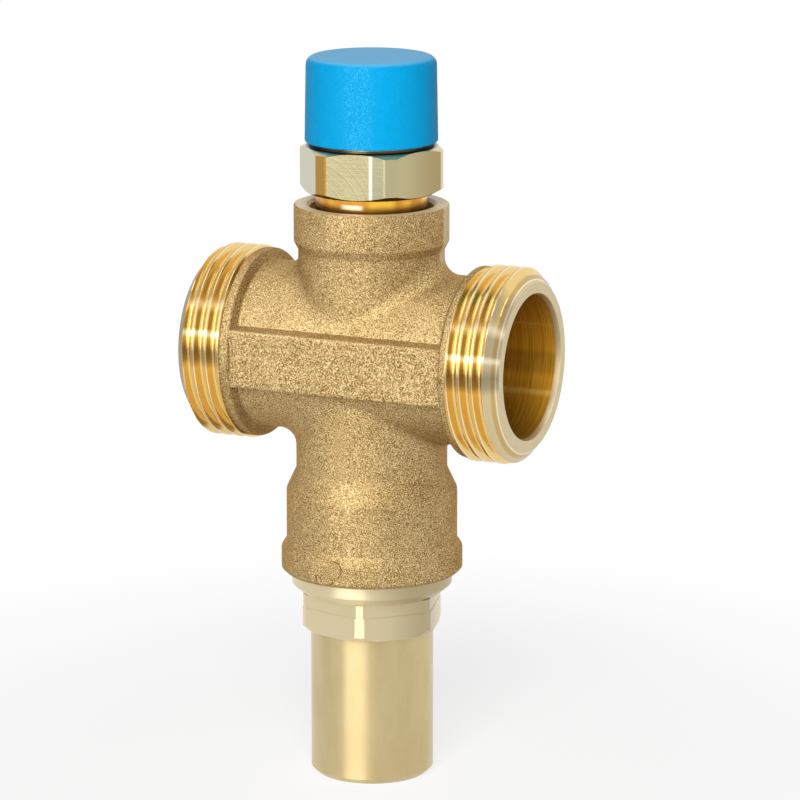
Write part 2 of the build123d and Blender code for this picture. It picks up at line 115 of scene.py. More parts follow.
class Tree:  # the nodes of one material or of the world
    def __init__(self, owner):
        owner.use_nodes = True
        self.owner = owner
        self.graph = owner.node_tree
        self.graph.nodes.clear()

    def node(self, kind, settings=None, values=None, out=0):
        made = self.graph.nodes.new(kind)
        for name, value in (settings or {}).items():
            if name == "stops":
                self.stops(made.color_ramp, value)
            else:
                setattr(made, name, value)
        for place, value in (values or {}).items():
            socket = made.inputs[place]
            if isinstance(value, Wire):
                self.graph.links.new(value.socket, socket)
            else:
                socket.default_value = value
        return Wire(self, made.outputs[out])

    def stops(self, ramp, colours):
        while len(ramp.elements) < len(colours):
            ramp.elements.new(1.0)
        for element, (place, colour) in zip(ramp.elements, colours):
            element.position = place
            element.color = colour

    def ramp(self, value, *stops):
        return self.node("ShaderNodeValToRGB", {"stops": stops}, {"Fac": value})

    def blend(self, share, first, second, how="MIX"):  # colours
        settings = {"data_type": "RGBA", "blend_type": how}
        return self.node("ShaderNodeMix", settings, {0: share, 6: first, 7: second}, out=2)

    def paint(self, colour, share, over):  # a colour laid over another by a share of it
        return self.blend(share, colour, tint(*over))

    def mottle(self, share, look):  # between the two colours of a finish
        return self.blend(share, tint(*look["colour"]), tint(*look["second"]))

    def place(self):  # where a point lies on the valve, in millimetres
        where = self.node("ShaderNodeTexCoord", out="Object")
        return self.node("ShaderNodeVectorMath", {"operation": "SCALE"}, {0: where, "Scale": 1 / mm})

    def split(self, vector):
        made = self.node("ShaderNodeSeparateXYZ", {}, {0: vector})
        outputs = made.socket.node.outputs
        return [Wire(self, outputs[index]) for index in range(3)]

    def join(self, x, y, z):
        return self.node("ShaderNodeCombineXYZ", {}, {0: x, 1: y, 2: z})

    def stretch(self, vector, x, y, z):
        values = {0: vector, 1: (x, y, z)}
        return self.node("ShaderNodeVectorMath", {"operation": "MULTIPLY"}, values)

    def noise(self, vector, size, detail=2.0, rough=0.5):  # size is that of one patch
        values = {"Vector": vector, "Scale": 1 / size, "Detail": detail, "Roughness": rough}
        return self.node("ShaderNodeTexNoise", {}, values)

    def bump(self, height, depth, strength=1.0, under=None):
        values = {"Height": height, "Distance": depth, "Strength": strength}
        if under is not None:
            values["Normal"] = under
        return self.node("ShaderNodeBump", {}, values)

    def surface(self, values):
        shader = self.node("ShaderNodeBsdfPrincipled", {}, values)
        self.close(shader)
        return self.owner

    def close(self, shader, kind="ShaderNodeOutputMaterial"):
        end = self.graph.nodes.new(kind)
        self.graph.links.new(shader.socket, end.inputs["Surface"])


def finish(name):
    return Tree(bpy.data.materials.new(name))


def aboutPipe(y, z):  # a point's height over the pipe's axis, and its distance from it
    up = z - pipeAxis
    return up, (y * y + up * up).root()


def facet(x, y, turn):  # how far out a point is towards a side of the valve, and how far along it
    sine, cosine = math.sin(math.radians(turn)), math.cos(math.radians(turn))
    return x * sine - y * cosine, x * cosine + y * sine


# Materials, with colours as seen on a screen and with sizes and places in millimetres

casting = {
    "pits": (62, 44, 18),
    "dark": (118, 92, 48),
    "mid": (172, 144, 94),
    "light": (216, 188, 136),
    "glint": (255, 240, 206),
    "glancing": (214, 168, 96),  # what is seen at a flat angle
    "shoulderShade": (104, 80, 42),  # painted shade on the casting's ends, beside the threads
    "shoulderFrom": (18.3, 18.9),
    "shoulderShare": 0.15,
    "grainSize": 0.18,
    "grainDepth": 0.06,
    "patchSize": 5.0,
    "patchShare": 0.07,
    "lumpDepth": 0.1,
    "metal": 0.68,
    "rough": 0.58,
}
bossStrip = {  # a paler strip down the boss's right side, just behind its middle plane
    "colour": (232, 222, 200),
    "share": 0.6,
    "across": (0.1, 0.7, 5.5, 8.5),
    "near": 8,
    "far": 18,
    "foot": (88.0, 90.0),
}


def castFinish():
    tree = finish("castBrass")
    at = tree.place()
    x, y, z = tree.split(at)
    grain = tree.noise(at, casting["grainSize"], 2.5, 0.62)
    patches = tree.noise(at, casting["patchSize"], 3.0)
    level = grain + (patches - 0.5) * casting["patchShare"]
    shades = ((0.3, "pits"), (0.4, "dark"), (0.5, "mid"), (0.6, "light"), (0.74, "glint"))
    colour = tree.ramp(level, *((place, tint(*casting[shade])) for place, shade in shades))
    # painted shade on the casting's ends, beside the threads
    shoulderShade = abs(x).ease(*casting["shoulderFrom"]) * casting["shoulderShare"]
    colour = tree.paint(colour, shoulderShade, casting["shoulderShade"])
    # a paler strip down the boss's right side, just behind its middle plane
    onBoss = (x > bossStrip["near"]) * (x < bossStrip["far"]) * z.ease(*bossStrip["foot"])
    paleStrip = y.between(*bossStrip["across"]) * onBoss * bossStrip["share"]
    colour = tree.paint(colour, paleStrip, bossStrip["colour"])
    lumps = tree.bump(patches, casting["lumpDepth"] * mm, 0.6)
    return tree.surface(
        {
            "Base Color": colour,
            "Metallic": casting["metal"],
            "Roughness": casting["rough"] - grain * 0.25,
            "Specular Tint": tint(*casting["glancing"]),
            "Normal": tree.bump(grain, casting["grainDepth"] * mm, 1.0, lumps),
        }
    )


threading = {
    "crest": (218, 175, 94),
    "edge": (252, 240, 214),
    # painted highlight along the crests' edges
    "valley": (238, 204, 130),
    "edgeHighlightFrom": (16.34, 16.42),  # distances from the pipe's axis
    "crestFrom": (16.46, 16.5),
    "rough": 0.14,
    "wander": 0.8,  # how far the painted reflection bands below stray
}
threadReflections = {  # painted reflected light and shade in bands, from 0 at the lowest point about the pipe to 1 at the highest
    "glint": (255, 250, 232),
    "dark": [  # a place and its painted shade
        (0.44, 1.0),
        (0.48, 0.62),
        (0.53, 0.5),
        (0.56, 0.62),
        (0.585, 0.8),
        (0.62, 1.0),
        (0.65, 0.7),
        (0.73, 0.7),
        (0.77, 1.0),
        (0.83, 0.66),
        (0.9, 0.66),
        (0.96, 1.0),
    ],
    "light": [  # a place and its share of the painted glint
        (0.6, 0.0),
        (0.618, 0.5),
        (0.628, 0.5),
        (0.645, 0.0),
        (0.74, 0.0),
        (0.765, 0.3),
        (0.78, 0.3),
        (0.8, 0.0),
    ],
}


# paints bands of reflected light and shade about the pipe
def paintReflections(tree, colour, up, radius, reflections):
    level = up / radius * 0.5 + 0.5
    shades = ((place, (grey, grey, grey * 0.9 + 0.1, 1.0)) for place, grey in reflections["dark"])
    shares = ((place, (share, share, share, 1.0)) for place, share in reflections["light"])
    colour = tree.blend(1.0, colour, tree.ramp(level, *shades), "MULTIPLY")
    return tree.paint(colour, tree.ramp(level, *shares), reflections["glint"])


def threadFinish():
    tree = finish("threadBrass")
    at = tree.place()
    x, y, z = tree.split(at)
    up, radius = aboutPipe(y, z)
    streaks = tree.noise(tree.stretch(at, 9, 0.25, 0.25), 1.0, 3.0)
    valley = tint(*threading["valley"])
    # a painted highlight along the crests' edges, then the crests' own colour
    colour = tree.paint(valley, radius.ease(*threading["edgeHighlightFrom"]), threading["edge"])
    colour = tree.paint(colour, radius.ease(*threading["crestFrom"]), threading["crest"])
    colour = tree.blend(streaks.ease(0.35, 0.65) * 0.25, colour, valley)
    wander = (tree.noise(at, 2.0, 2.0) - 0.5) * threading["wander"]
    return tree.surface(
        {
            "Base Color": paintReflections(tree, colour, up + wander, radius, threadReflections),
            "Metallic": 1.0,
            "Roughness": threading["rough"] + streaks * 0.1,
            "Normal": tree.bump(streaks, 0.006 * mm, 0.7),
        }
    )


chamfering = {
    "colour": (226, 212, 178),
    "second": (206, 184, 132),
    "lineSize": 0.12,
    "ring": (204, 166, 92),  # what is left of the last crest
    "ringShare": 0.8,
    "ringAt": (28.35, 28.5, 28.85, 28.95),
    # painted highlight along the ring's edge
    "ringHighlight": (252, 240, 214),
    "ringEdgeAt": (28.95, 29.0, 29.05, 29.12),
    # painted shade over the left port's chamfer
    "leftPortShade": (140, 124, 82),
    "rough": 0.3,
}


def chamferFinish():
    tree = finish("chamferBrass")
    at = tree.place()
    x, y, z = tree.split(at)
    up, radius = aboutPipe(y, z)
    lines = tree.noise(tree.join(x / chamfering["lineSize"], 0.0, 0.0), 1.0, 3.0)
    colour = tree.mottle(lines.ease(0.35, 0.65), chamfering)
    ring = abs(x).between(*chamfering["ringAt"]) * chamfering["ringShare"]
    colour = tree.paint(colour, ring, chamfering["ring"])
    # a painted highlight along the ring's edge
    colour = tree.paint(colour, abs(x).between(*chamfering["ringEdgeAt"]), chamfering["ringHighlight"])
    # painted reflected light and shade in bands, as on the threads
    colour = paintReflections(tree, colour, up, radius, threadReflections)
    return tree.surface(
        {
            # painted shade over the whole of the left port's chamfer
            "Base Color": tree.paint(colour, x < 0, chamfering["leftPortShade"]),
            "Metallic": 1.0,
            "Roughness": chamfering["rough"] + lines * 0.1,
            "Normal": tree.bump(lines, 0.015 * mm, 0.8),
        }
    )


facing = {"colour": (218, 204, 170), "second": (202, 184, 144), "lineSize": 0.16, "rough": 0.4}


def facedFinish(name, axisHeight=None, metal=1.0):  # rings about the valve's own axis, or the pipe's
    tree = finish(name)
    at = tree.place()
    x, y, z = tree.split(at)
    across, up = (x, y) if axisHeight is None else (y, z - axisHeight)
    radius = (across * across + up * up).root()
    lines = tree.noise(tree.join(radius / facing["lineSize"], 0.0, 0.0), 1.0, 3.0)
    patches = tree.noise(at, 3.0, 2.0)
    return tree.surface(
        {
            "Base Color": tree.mottle(lines.ease(0.3, 0.7) * 0.6 + patches * 0.4, facing),
            "Metallic": metal,
            "Roughness": facing["rough"] + patches * 0.1,
            "Normal": tree.bump(lines, 0.02 * mm, 0.8),
        }
    )


boring = {"colour": (236, 188, 70), "second": (206, 144, 26), "rough": 0.5, "wander": 0.4}
# painted reflected light and shade in bands about the pipe, inside the bores
boreReflections = {
    "glint": (250, 222, 120),
    "dark": [
        (0.0, 0.4),
        (0.2, 0.85),
        (0.33, 1.0),
        (0.37, 0.74),
        (0.48, 0.72),
        (0.52, 1.0),
        (0.7, 0.95),
        (1.0, 0.5),
    ],
    "light": [
        (0.2, 0.0),
        (0.225, 0.55),
        (0.235, 0.55),
        (0.25, 0.0),
        (0.69, 0.0),
        (0.7, 0.25),
        (0.705, 0.25),
        (0.715, 0.0),
    ],
}


def boredFinish():
    tree = finish("boredBrass")
    at = tree.place()
    x, y, z = tree.split(at)
    up, radius = aboutPipe(y, z)
    streaks = tree.noise(tree.stretch(at, 5.5, 0.12, 0.12), 1.0, 4.0)
    # the painted reflection bands stray a little
    wander = (tree.noise(at, 1.5, 2.0) - 0.5) * boring["wander"]
    colour = tree.mottle(streaks.ease(0.3, 0.7), boring)
    return tree.surface(
        {
            "Base Color": paintReflections(tree, colour, up + wander, radius, boreReflections),
            "Metallic": 1.0,
            "Roughness": boring["rough"] + streaks * 0.15,
            "Normal": tree.bump(streaks, 0.03 * mm, 0.8),
        }
    )


turning = {
    "colour": (211, 191, 142),
    "second": (205, 183, 132),
    "lineSize": 0.2,
    "patchSize": 3.5,
    "rough": 0.38,
    "roughUnstretched": 0.19,
    "coat": 0.35,
    "coatRough": 0.3,
    "coatIor": 1.7,
}


def turnedFinish(name, stretched, paint=None):  # stretched: how far turning marks draw out the gloss
    tree = finish(name)
    at = tree.place()
    x, y, z = tree.split(at)
    lines = tree.noise(tree.stretch(at, 0.12, 0.12, 1 / turning["lineSize"]), 1.0, 3.0)
    patches = tree.noise(tree.stretch(at, 1, 1, 0.35), turning["patchSize"], 3.0)
    colour = tree.mottle(patches.ease(0.3, 0.7), turning)
    if paint is not None:
        colour = paint(tree, colour, x, y, z)
    rough = turning["roughUnstretched"] * (1 - stretched) + turning["rough"] * stretched
    return tree.surface(
        {
            "Base Color": colour,
            "Metallic": 1.0,
            "Roughness": rough + patches * 0.1,
            "Anisotropic": stretched,
            "Anisotropic Rotation": 0.25,
            "Coat Weight": turning["coat"],
            "Coat Roughness": turning["coatRough"],
            "Coat IOR": turning["coatIor"],
            "Normal": tree.bump(lines, 0.012 * mm, 0.8),
        }
    )


upperHex = {
    "turn": 10.5,  # of the front facet
    "flatReach": 10.85,  # beyond this is a facet
    "cornerReach": 11.95,
    "foot": 100.7,
    "head": 108.7,
    "markSize": 0.35,
    "markCentre": (-9, 97),
    "colour": (170, 159, 116),  # the milled front facet, painted darker as shade
    "second": (190, 181, 144),
    # painted shade at the front facet's right end
    "frontEndShade": (160, 156, 122),
    # a painted highlight line down the front facet
    "frontHighlight": (240, 236, 220),
    "frontLineAt": (2.25, 2.6, 2.75, 3.1),
    # painted light on the left facet
    "left": (184, 181, 148),
    # painted shade on the right facet, darker towards its end
    "right": (188, 176, 132),
    "rightEndShade": (166, 148, 98),
    # painted reflections on the corners beside the front facet
    "leftCornerReflection": (172, 130, 48),
    "rightCornerReflection": (186, 174, 134),
    # painted shadow under the cap
    "underCapShadow": (26, 22, 17),
}
# painted amber reflected light on the neck, in the recess under the upper hex
neck = {
    "radius": 9.9,
    "dark": (204, 138, 22),
    "bright": (250, 196, 56),
    # painted shadow at the neck's foot
    "foot": (96, 56, 8),
    "footShadeAt": (98.9, 99.9),
    "glint": (255, 244, 214),
    "glintTurn": 4,
    "glintHeight": (98.9, 99.1, 99.6, 99.9),
}


def facetPaintedLight(tree, colour, x, y, z):  # the upper hex, painted light and shade facet by facet, with a painted highlight line, painted reflections on its corners and a painted shadow under the cap
    def side(turn, reach):  # whether a point is on a facet or corner, and how far along it
        out, along = facet(x, y, upperHex["turn"] + turn)
        return out > upperHex[reach], along

    front, along = side(0, "flatReach")
    across, up = upperHex["markCentre"]
    arcs = ((along - across) * (along - across) + (z - up) * (z - up)).root()
    marks = tree.noise(tree.join(arcs / upperHex["markSize"], 0.0, 0.0), 1.0, 3.0)
    milledAndPaintedLight = tree.mottle(marks.ease(0.35, 0.65) * 0.6, upperHex)
    # painted shade at the front facet's right end
    milledAndPaintedLight = tree.paint(milledAndPaintedLight, along.ease(2.9, 3.1), upperHex["frontEndShade"])
    # a painted highlight line down the front facet
    highlightLine = along.between(*upperHex["frontLineAt"]) * 0.85
    colour = tree.blend(front, colour, tree.paint(milledAndPaintedLight, highlightLine, upperHex["frontHighlight"]))
    # painted light on the left facet
    colour = tree.paint(colour, side(-60, "flatReach")[0], upperHex["left"])
    # painted shade on the right facet, darker towards its end
    right, along = side(60, "flatReach")
    rightFacetShade = tree.paint(tint(*upperHex["right"]), along.ease(-5, 5), upperHex["rightEndShade"])
    colour = tree.blend(right, colour, rightFacetShade)
    # painted reflections on the corners
    colour = tree.paint(colour, side(-30, "cornerReach")[0], upperHex["leftCornerReflection"])
    colour = tree.paint(colour, side(30, "cornerReach")[0], upperHex["rightCornerReflection"])
    # painted shadow under the cap
    shadow = z.ease(upperHex["head"] - 0.3, upperHex["head"] - 0.1) * (z < upperHex["head"] + 0.02)
    return tree.paint(colour, shadow, upperHex["underCapShadow"])


def neckPaintedLight(tree, colour, x, y, z):  # the neck between the upper hex and the boss, painted amber as reflected light, with a painted shadow at its foot and a painted glint
    glow = tree.noise(tree.stretch(tree.place(), 0.22, 0.22, 0.05), 1.0, 1.0)
    # painted amber reflected light
    reflectedAmber = tree.paint(tint(*neck["dark"]), glow.ease(0.42, 0.6), neck["bright"])
    # painted shadow at the neck's foot
    reflectedAmber = tree.paint(reflectedAmber, z.ease(*neck["footShadeAt"], 0.6, 0.0), neck["foot"])
    out, along = facet(x, y, neck["glintTurn"])
    glint = (out > 0) * abs(along).ease(1.2, 2.4, 1.0, 0.0) * z.between(*neck["glintHeight"])
    # a painted glint
    reflectedAmber = tree.paint(reflectedAmber, glint * 0.8, neck["glint"])
    radius = (x * x + y * y).root()
    return tree.blend((z < upperHex["foot"] - 0.02) * (radius < neck["radius"]), colour, reflectedAmber)


# painted light and shade on the upper hex and its neck
def ventPaintedLight(tree, colour, x, y, z):
    return neckPaintedLight(tree, facetPaintedLight(tree, colour, x, y, z), x, y, z)


lowerHex = {
    "foot": 25.6,
    "head": 35.6,
    "pale": (226, 210, 170),
    "shade": (150, 134, 92),  # towards the right port
    "shadeShare": 0.6,
    "shadeTurn": 80,
    "shadeReach": (7, 13),
}


def tailPaint(tree, colour, x, y, z):
    foot, head = lowerHex["foot"], lowerHex["head"]
    colour = tree.paint(colour, z.between(foot - 0.1, foot, head, head + 0.1), lowerHex["pale"])
    out, along = facet(x, y, lowerHex["shadeTurn"])
    shade = out.ease(*lowerHex["shadeReach"]) * z.ease(foot, foot + 0.1)
    return tree.paint(colour, shade * lowerHex["shadeShare"], lowerHex["shade"])


moulding = {
    "colour": (0, 142, 193),
    "second": (0, 152, 209),
    # painted light on the cap's top
    "top": (84, 176, 224),
    "topLightFrom": (122.9, 123.4),
    "glint": (70, 170, 228),
    "glintTurn": 13,
    "grainSize": 0.2,
    "speckSize": 0.3,
    "speckDepth": 0.05,
    "rough": 0.5,
    "specular": 0.1,
    "topCoat": 0.25,
    "topCoatFrom": (122.6, 123.3),
    "coatRough": 0.35,
}


def capFinish():
    tree = finish("capPlastic")
    at = tree.place()
    x, y, z = tree.split(at)
    grain = tree.noise(at, moulding["grainSize"], 2.0)
    specks = tree.noise(at, moulding["speckSize"], 1.5, 0.6)
    colour = tree.mottle(grain.ease(0.35, 0.65), moulding)
    out, along = facet(x, y, moulding["glintTurn"])
    glint = (out > 0) * abs(along).ease(1.2, 3.4, 1.0, 0.0) * specks.ease(0.5, 0.62)
    colour = tree.paint(colour, glint * 0.5, moulding["glint"])
    return tree.surface(
        {
            # painted light on the cap's top
            "Base Color": tree.paint(colour, z.ease(*moulding["topLightFrom"]), moulding["top"]),
            "Roughness": moulding["rough"] + grain * 0.1,
            "Specular IOR Level": moulding["specular"],
            "Coat Weight": z.ease(*moulding["topCoatFrom"]) * moulding["topCoat"],
            "Coat Roughness": moulding["coatRough"],
            "Normal": tree.bump(specks, moulding["speckDepth"] * mm, 0.8),
        }
    )


innerLooks = {
    "sealRubber": {
        "colour": (34, 34, 35),
        "second": (44, 44, 46),
        "rough": 0.55,
        "metal": 0.0,
        "size": 0.8,
        "depth": 0.02,
    },
    "springWire": {
        "colour": (176, 178, 180),
        "second": (150, 152, 155),
        "rough": 0.22,
        "metal": 1.0,
        "size": 0.5,
        "depth": 0.01,
    },
    "cagePlastic": {
        "colour": (42, 43, 45),
        "second": (54, 55, 58),
        "rough": 0.45,
        "metal": 0.0,
        "size": 0.3,
        "depth": 0.02,
    },
    "guidePlastic": {
        "colour": (222, 220, 212),
        "second": (208, 205, 196),
        "rough": 0.4,
        "metal": 0.0,
        "size": 0.3,
        "depth": 0.02,
    },
    "waxCharge": {
        "colour": (232, 222, 178),
        "second": (220, 206, 156),
        "rough": 0.6,
        "metal": 0.0,
        "size": 1.2,
        "depth": 0.04,
    },
    "elementCup": {
        "colour": (208, 158, 118),
        "second": (190, 138, 98),
        "rough": 0.25,
        "metal": 1.0,
        "size": 1.5,
        "depth": 0.01,
    },
}


def innerFinish(name):
    look = innerLooks[name]
    tree = finish(name)
    grain = tree.noise(tree.place(), look["size"], 3.0)
    return tree.surface(
        {
            "Base Color": tree.mottle(grain, look),
            "Metallic": look["metal"],
            "Roughness": look["rough"] + grain * 0.12,
            "Normal": tree.bump(grain, look["depth"] * mm, 0.7),
        }
    )


cast = castFinish()
threaded = threadFinish()
portFaced = facedFinish("portFace", pipeAxis)
bossFaced = facedFinish("bossFace", metal=0.4)
bored = boredFinish()
chamfered = chamferFinish()
turned = turnedFinish("turnedBrass", 0.9)
ventTurned = turnedFinish("ventBrass", 0.0, ventPaintedLight)
tailTurned = turnedFinish("tailBrass", 0.9, tailPaint)
capPlastic = capFinish()
rubber = innerFinish("sealRubber")
steel = innerFinish("springWire")
cagePlastic = innerFinish("cagePlastic")
guidePlastic = innerFinish("guidePlastic")
wax = innerFinish("waxCharge")
copper = innerFinish("elementCup")
print("valve: materials made")

nodeFinishes = {
    "vent_body": ventTurned,
    "vent_cap": capPlastic,
    "drain_tail": tailTurned,
    "vent_body_seal": rubber,
    "vent_poppet": turned,
    "vent_poppet_seal": rubber,
    "vent_guide": guidePlastic,
    "vent_stem_clip": steel,
    "drain_tail_seal": rubber,
    "drain_plug": turned,
    "drain_plug_seal": rubber,
    "plug_guide": turned,
    "element_cage": cagePlastic,
    "element_cup": copper,
    "element_guide": turned,
    "element_boot": rubber,
    "wax_charge": wax,
    "element_piston": steel,
    "spring_retainer": steel,
}
for name, look in nodeFinishes.items():
    mesh = nodes[name].data
    mesh.materials.clear()
    mesh.materials.append(look)

# The cast body, with its two pipe threads cut in place of the plain cylinders

bodyLooks = {
    "cast": cast,
    "thread": threaded,
    "portFace": portFaced,
    "faced": bossFaced,
    "bore": bored,
    "chamfer": chamfered,
}
lookPlace = {name: place for place, name in enumerate(bodyLooks)}
upright = {  # the machined places of the casting's upright
    "head": 98.6,
    "foot": 35.7,
    "bossBoreFoot": 86.2,
    "bossBoreFaced": 92,  # above this its wall is faced
    "bossBoreRadius": 11.3,
    "bellBoreRadius": 12.1,
}
port = {
    "foot": 20.7,
    "face": 29.4,
    "bore": 12.1,
    "crestRadius": 16.5,
    "faceRadius": 14.1,
    "chamferWidth": 2.0,
    "pitch": 2.309,
    "mouthDepth": 0.9,  # chamfer at the mouth of the bore
    "mouthRadius": 12.35,
    "columns": 180,  # lengthwise cuts to a turn
    "rowStep": 0.12,
    "sharp": 28,  # degrees between faces at which an edge is drawn sharp
    "crestRight": 21.84,  # a crest's distance from the middle, at the side of the port
    "crestLeft": 25.65,
}
threadShape = [  # distance from the middle of a crest, and depth below it
    (0.0, 0.0),
    (0.2, 0.0),
    (0.25, 0.02),
    (0.31, 0.09),
    (0.55, 0.53),
    (0.81, 1.01),
    (0.9, 1.12),
    (0.98, 1.17),
    (port["pitch"] / 2, 1.18),
]


def threadRows():  # distances from a crest at which the thread has points
    rows = [0.0]
    for distance, depth in threadShape[1:]:
        steps = math.ceil((distance - rows[-1]) / port["rowStep"] - 1e-6)
        start = rows[-1]
        rows += [start + (distance - start) * (step + 1) / steps for step in range(steps)]
    return rows


def threadDepth(distance):
    distance = abs((distance + port["pitch"] / 2) % port["pitch"] - port["pitch"] / 2)
    for (near, nearDepth), (far, farDepth) in zip(threadShape, threadShape[1:]):
        if distance <= far:
            return nearDepth + (farDepth - nearDepth) * (distance - near) / (far - near)
    return threadShape[-1][1]


def chamferRadius(place):  # the end chamfer's radius at a distance from the middle
    rise = (port["crestRadius"] - port["faceRadius"]) / port["chamferWidth"]
    return port["faceRadius"] + (port["face"] - place) * rise


def threadColumn(first, turn):  # the points of one lengthwise cut through the thread, from foot to face
    shape = threadRows()
    offsets = [-distance for distance in shape[:0:-1]] + shape[:-1]
    below = math.ceil((first - port["foot"]) / port["pitch"]) + 1
    above = math.ceil((port["face"] - first) / port["pitch"]) + 1
    column = []
    for count in range(-below, above + 1):
        for offset in offsets:
            place = first + (count + turn) * port["pitch"] + offset
            place = min(max(place, port["foot"]), port["face"])
            radius = port["crestRadius"] - threadDepth(place - first - turn * port["pitch"])
            column.append((place, min(radius, chamferRadius(place))))
    return column


def addThread(mesh, side, crest):
    columns = []
    for step in range(port["columns"] + 1):
        turn = step / port["columns"]
        angle = 2 * math.pi * turn
        points = []
        for place, radius in threadColumn(crest, turn):
            along, across = place * side, radius * math.cos(angle) * side
            point = Vector((along, across, pipeAxis + radius * math.sin(angle)))
            points.append(mesh.verts.new(point * mm))
        columns.append(points)
    faces = []
    for near, far in zip(columns, columns[1:]):
        for low in range(len(near) - 1):
            faces.append(mesh.faces.new((near[low], near[low + 1], far[low + 1], far[low])))
    return faces


def fromPipe(point):  # distance from the pipe's axis
    return math.hypot(point.y, point.z - pipeAxis * mm)


def aroundPipe(corner):
    return math.atan2(corner.co.z - pipeAxis * mm, corner.co.y)


def openRing(mesh, side, place, ofThread):  # the open edges' points at one place along the pipe
    ring = []
    for corner in mesh.verts:
        if corner.is_boundary and abs(corner.co.x - side * place * mm) < 0.002 * mm:
            if (corner.link_faces[0].material_index == lookPlace["thread"]) == ofThread:
                ring.append(corner)
    return sorted(ring, key=aroundPipe)


def mouthRing(mesh, side):  # where the bore's small chamfer meets the port's face
    points = []
    for step in range(port["columns"]):
        angle = 2 * math.pi * (step + 0.5) / port["columns"] - math.pi
        across, up = port["mouthRadius"] * math.cos(angle), port["mouthRadius"] * math.sin(angle)
        points.append(mesh.verts.new(Vector((side * port["face"], across, pipeAxis + up)) * mm))
    return points


def closePort(mesh, side):
    foot, face = port["foot"], port["face"]
    joined = [(openRing(mesh, side, foot, False), openRing(mesh, side, foot, True), "thread")]
    bore = openRing(mesh, side, face, False)
    for corner in bore:
        corner.co.x -= side * port["mouthDepth"] * mm
    mouth = mouthRing(mesh, side)
    joined.append((bore, mouth, "portFace"))
    joined.append((mouth, openRing(mesh, side, face, True), "portFace"))
    for near, far, look in joined:
        for made in stitch(mesh, near, far):
            made.material_index = lookPlace[look]


def stitch(mesh, near, far):  # triangles between two rings about the pipe
    made = []
    nearAt, farAt = 0, 0
    while nearAt < len(near) or farAt < len(far):
        nextNear = aroundPipe(near[nearAt + 1]) if nearAt + 1 < len(near) else math.pi
        nextFar = aroundPipe(far[farAt + 1]) if farAt + 1 < len(far) else math.pi
        corners = [near[nearAt % len(near)], far[farAt % len(far)]]
        if farAt == len(far) or (nearAt < len(near) and nextNear <= nextFar):
            nearAt += 1
            corners.append(near[nearAt % len(near)])
        else:
            farAt += 1
            corners.append(far[farAt % len(far)])
        made.append(mesh.faces.new(corners))
    return made


def onChamfer(face):
    centre = face.calc_center_median()
    place = abs(centre.x) / mm
    beside = port["face"] - place < port["chamferWidth"]
    return beside and abs(fromPipe(centre) / mm - chamferRadius(place)) < 0.02


def makeBody():
    mesh = bmesh.new()
    mesh.from_mesh(nodes["valve_body"].data)
    bmesh.ops.remove_doubles(mesh, verts=mesh.verts, dist=0.001 * mm)
    gone = []
    for face in mesh.faces:
        outside = all(abs(corner.co.x) > (port["foot"] - 0.002) * mm for corner in face.verts)
        away = sum(fromPipe(corner.co) for corner in face.verts) / 3
        if outside and away > (port["bore"] + 0.2) * mm:
            gone.append(face)
    bmesh.ops.delete(mesh, geom=gone, context="FACES")
    for face in mesh.faces:
        face.material_index = bodyFinish(face)
    for side, crest in ((1, port["crestRight"]), (-1, port["crestLeft"])):
        made = addThread(mesh, side, crest)
        for face in made:
            face.material_index = lookPlace["thread"]
        points = list({corner for face in made for corner in face.verts})
        bmesh.ops.remove_doubles(mesh, verts=points, dist=0.002 * mm)
        closePort(mesh, side)
    bmesh.ops.dissolve_degenerate(mesh, dist=0.0005 * mm, edges=mesh.edges)
    bmesh.ops.recalc_face_normals(mesh, faces=mesh.faces)
    gaps = [edge for edge in mesh.edges if not edge.is_manifold]
    print("valve: body", len(mesh.verts), "points,", len(gaps), "open edges")
    for face in mesh.faces:
        face.smooth = True
        if face.material_index == lookPlace["thread"] and onChamfer(face):
            face.material_index = lookPlace["chamfer"]
    for edge in mesh.edges:
        edge.smooth = edge.is_manifold and edge.calc_face_angle() < math.radians(port["sharp"])
    made = bpy.data.meshes.new("valveBody")
    mesh.to_mesh(made)
    mesh.free()
    for look in bodyLooks.values():
        made.materials.append(look)
    body = bpy.data.objects.new("valveBody", made)
    scene.collection.objects.link(body)
    return body


def bodyFinish(face):  # which of the body's finishes a face has
    centre = face.calc_center_median() / mm
    normal = face.normal
    ring = math.hypot(centre.x, centre.y)
    look = "cast"
    inBoss = upright["bossBoreFoot"] < centre.z < upright["head"] - 0.01
    if fromPipe(centre * mm) < (port["bore"] + 0.05) * mm and abs(normal.x) < 0.2:
        look = "bore"
    elif inBoss and ring < upright["bossBoreRadius"]:
        look = "faced" if centre.z > upright["bossBoreFaced"] else "bore"
    elif abs(centre.z - upright["head"]) < 0.02 or abs(centre.z - upright["foot"]) < 0.02:
        look = "faced"
    elif centre.z < pipeAxis and ring < upright["bellBoreRadius"]:
        look = "bore"
    return lookPlace[look]


body = makeBody()
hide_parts("valve_body")
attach(body, "body")
print("valve: body made")

# Springs of round wire, with closed and ground ends

springs = {
    "ventSpring": {
        "node": "vent_spring",
        "mean": 4.5,  # diameter of the coil, to the middle of the wire
        "wire": 0.4,
        "turns": 6,
        "still": 103.8,  # height of the end that stays on the body
        "moving": 111.2,
        "rides": "poppet",  # carries the moving end
    },
    "returnSpring": {
        "node": "return_spring",
        "mean": 14.8,
        "wire": 0.9,
        "turns": 4,
        "still": 35.7,
        "moving": 41.3,
        "rides": "plug",
    },
    "overtravelSpring": {
        "node": "overtravel_spring",
        "mean": 12.0,
        "wire": 1.0,
        "turns": 5,
        "still": 71.3,
        "moving": 61.3,
        "rides": "element",
    },
}
coiling = {
    "steps": 40,  # to a turn
    "sides": 12,
    "closed": 0.8,  # turns at each end that lie close
    "closedRise": 0.12,  # share of the height that all turns climb alike
}


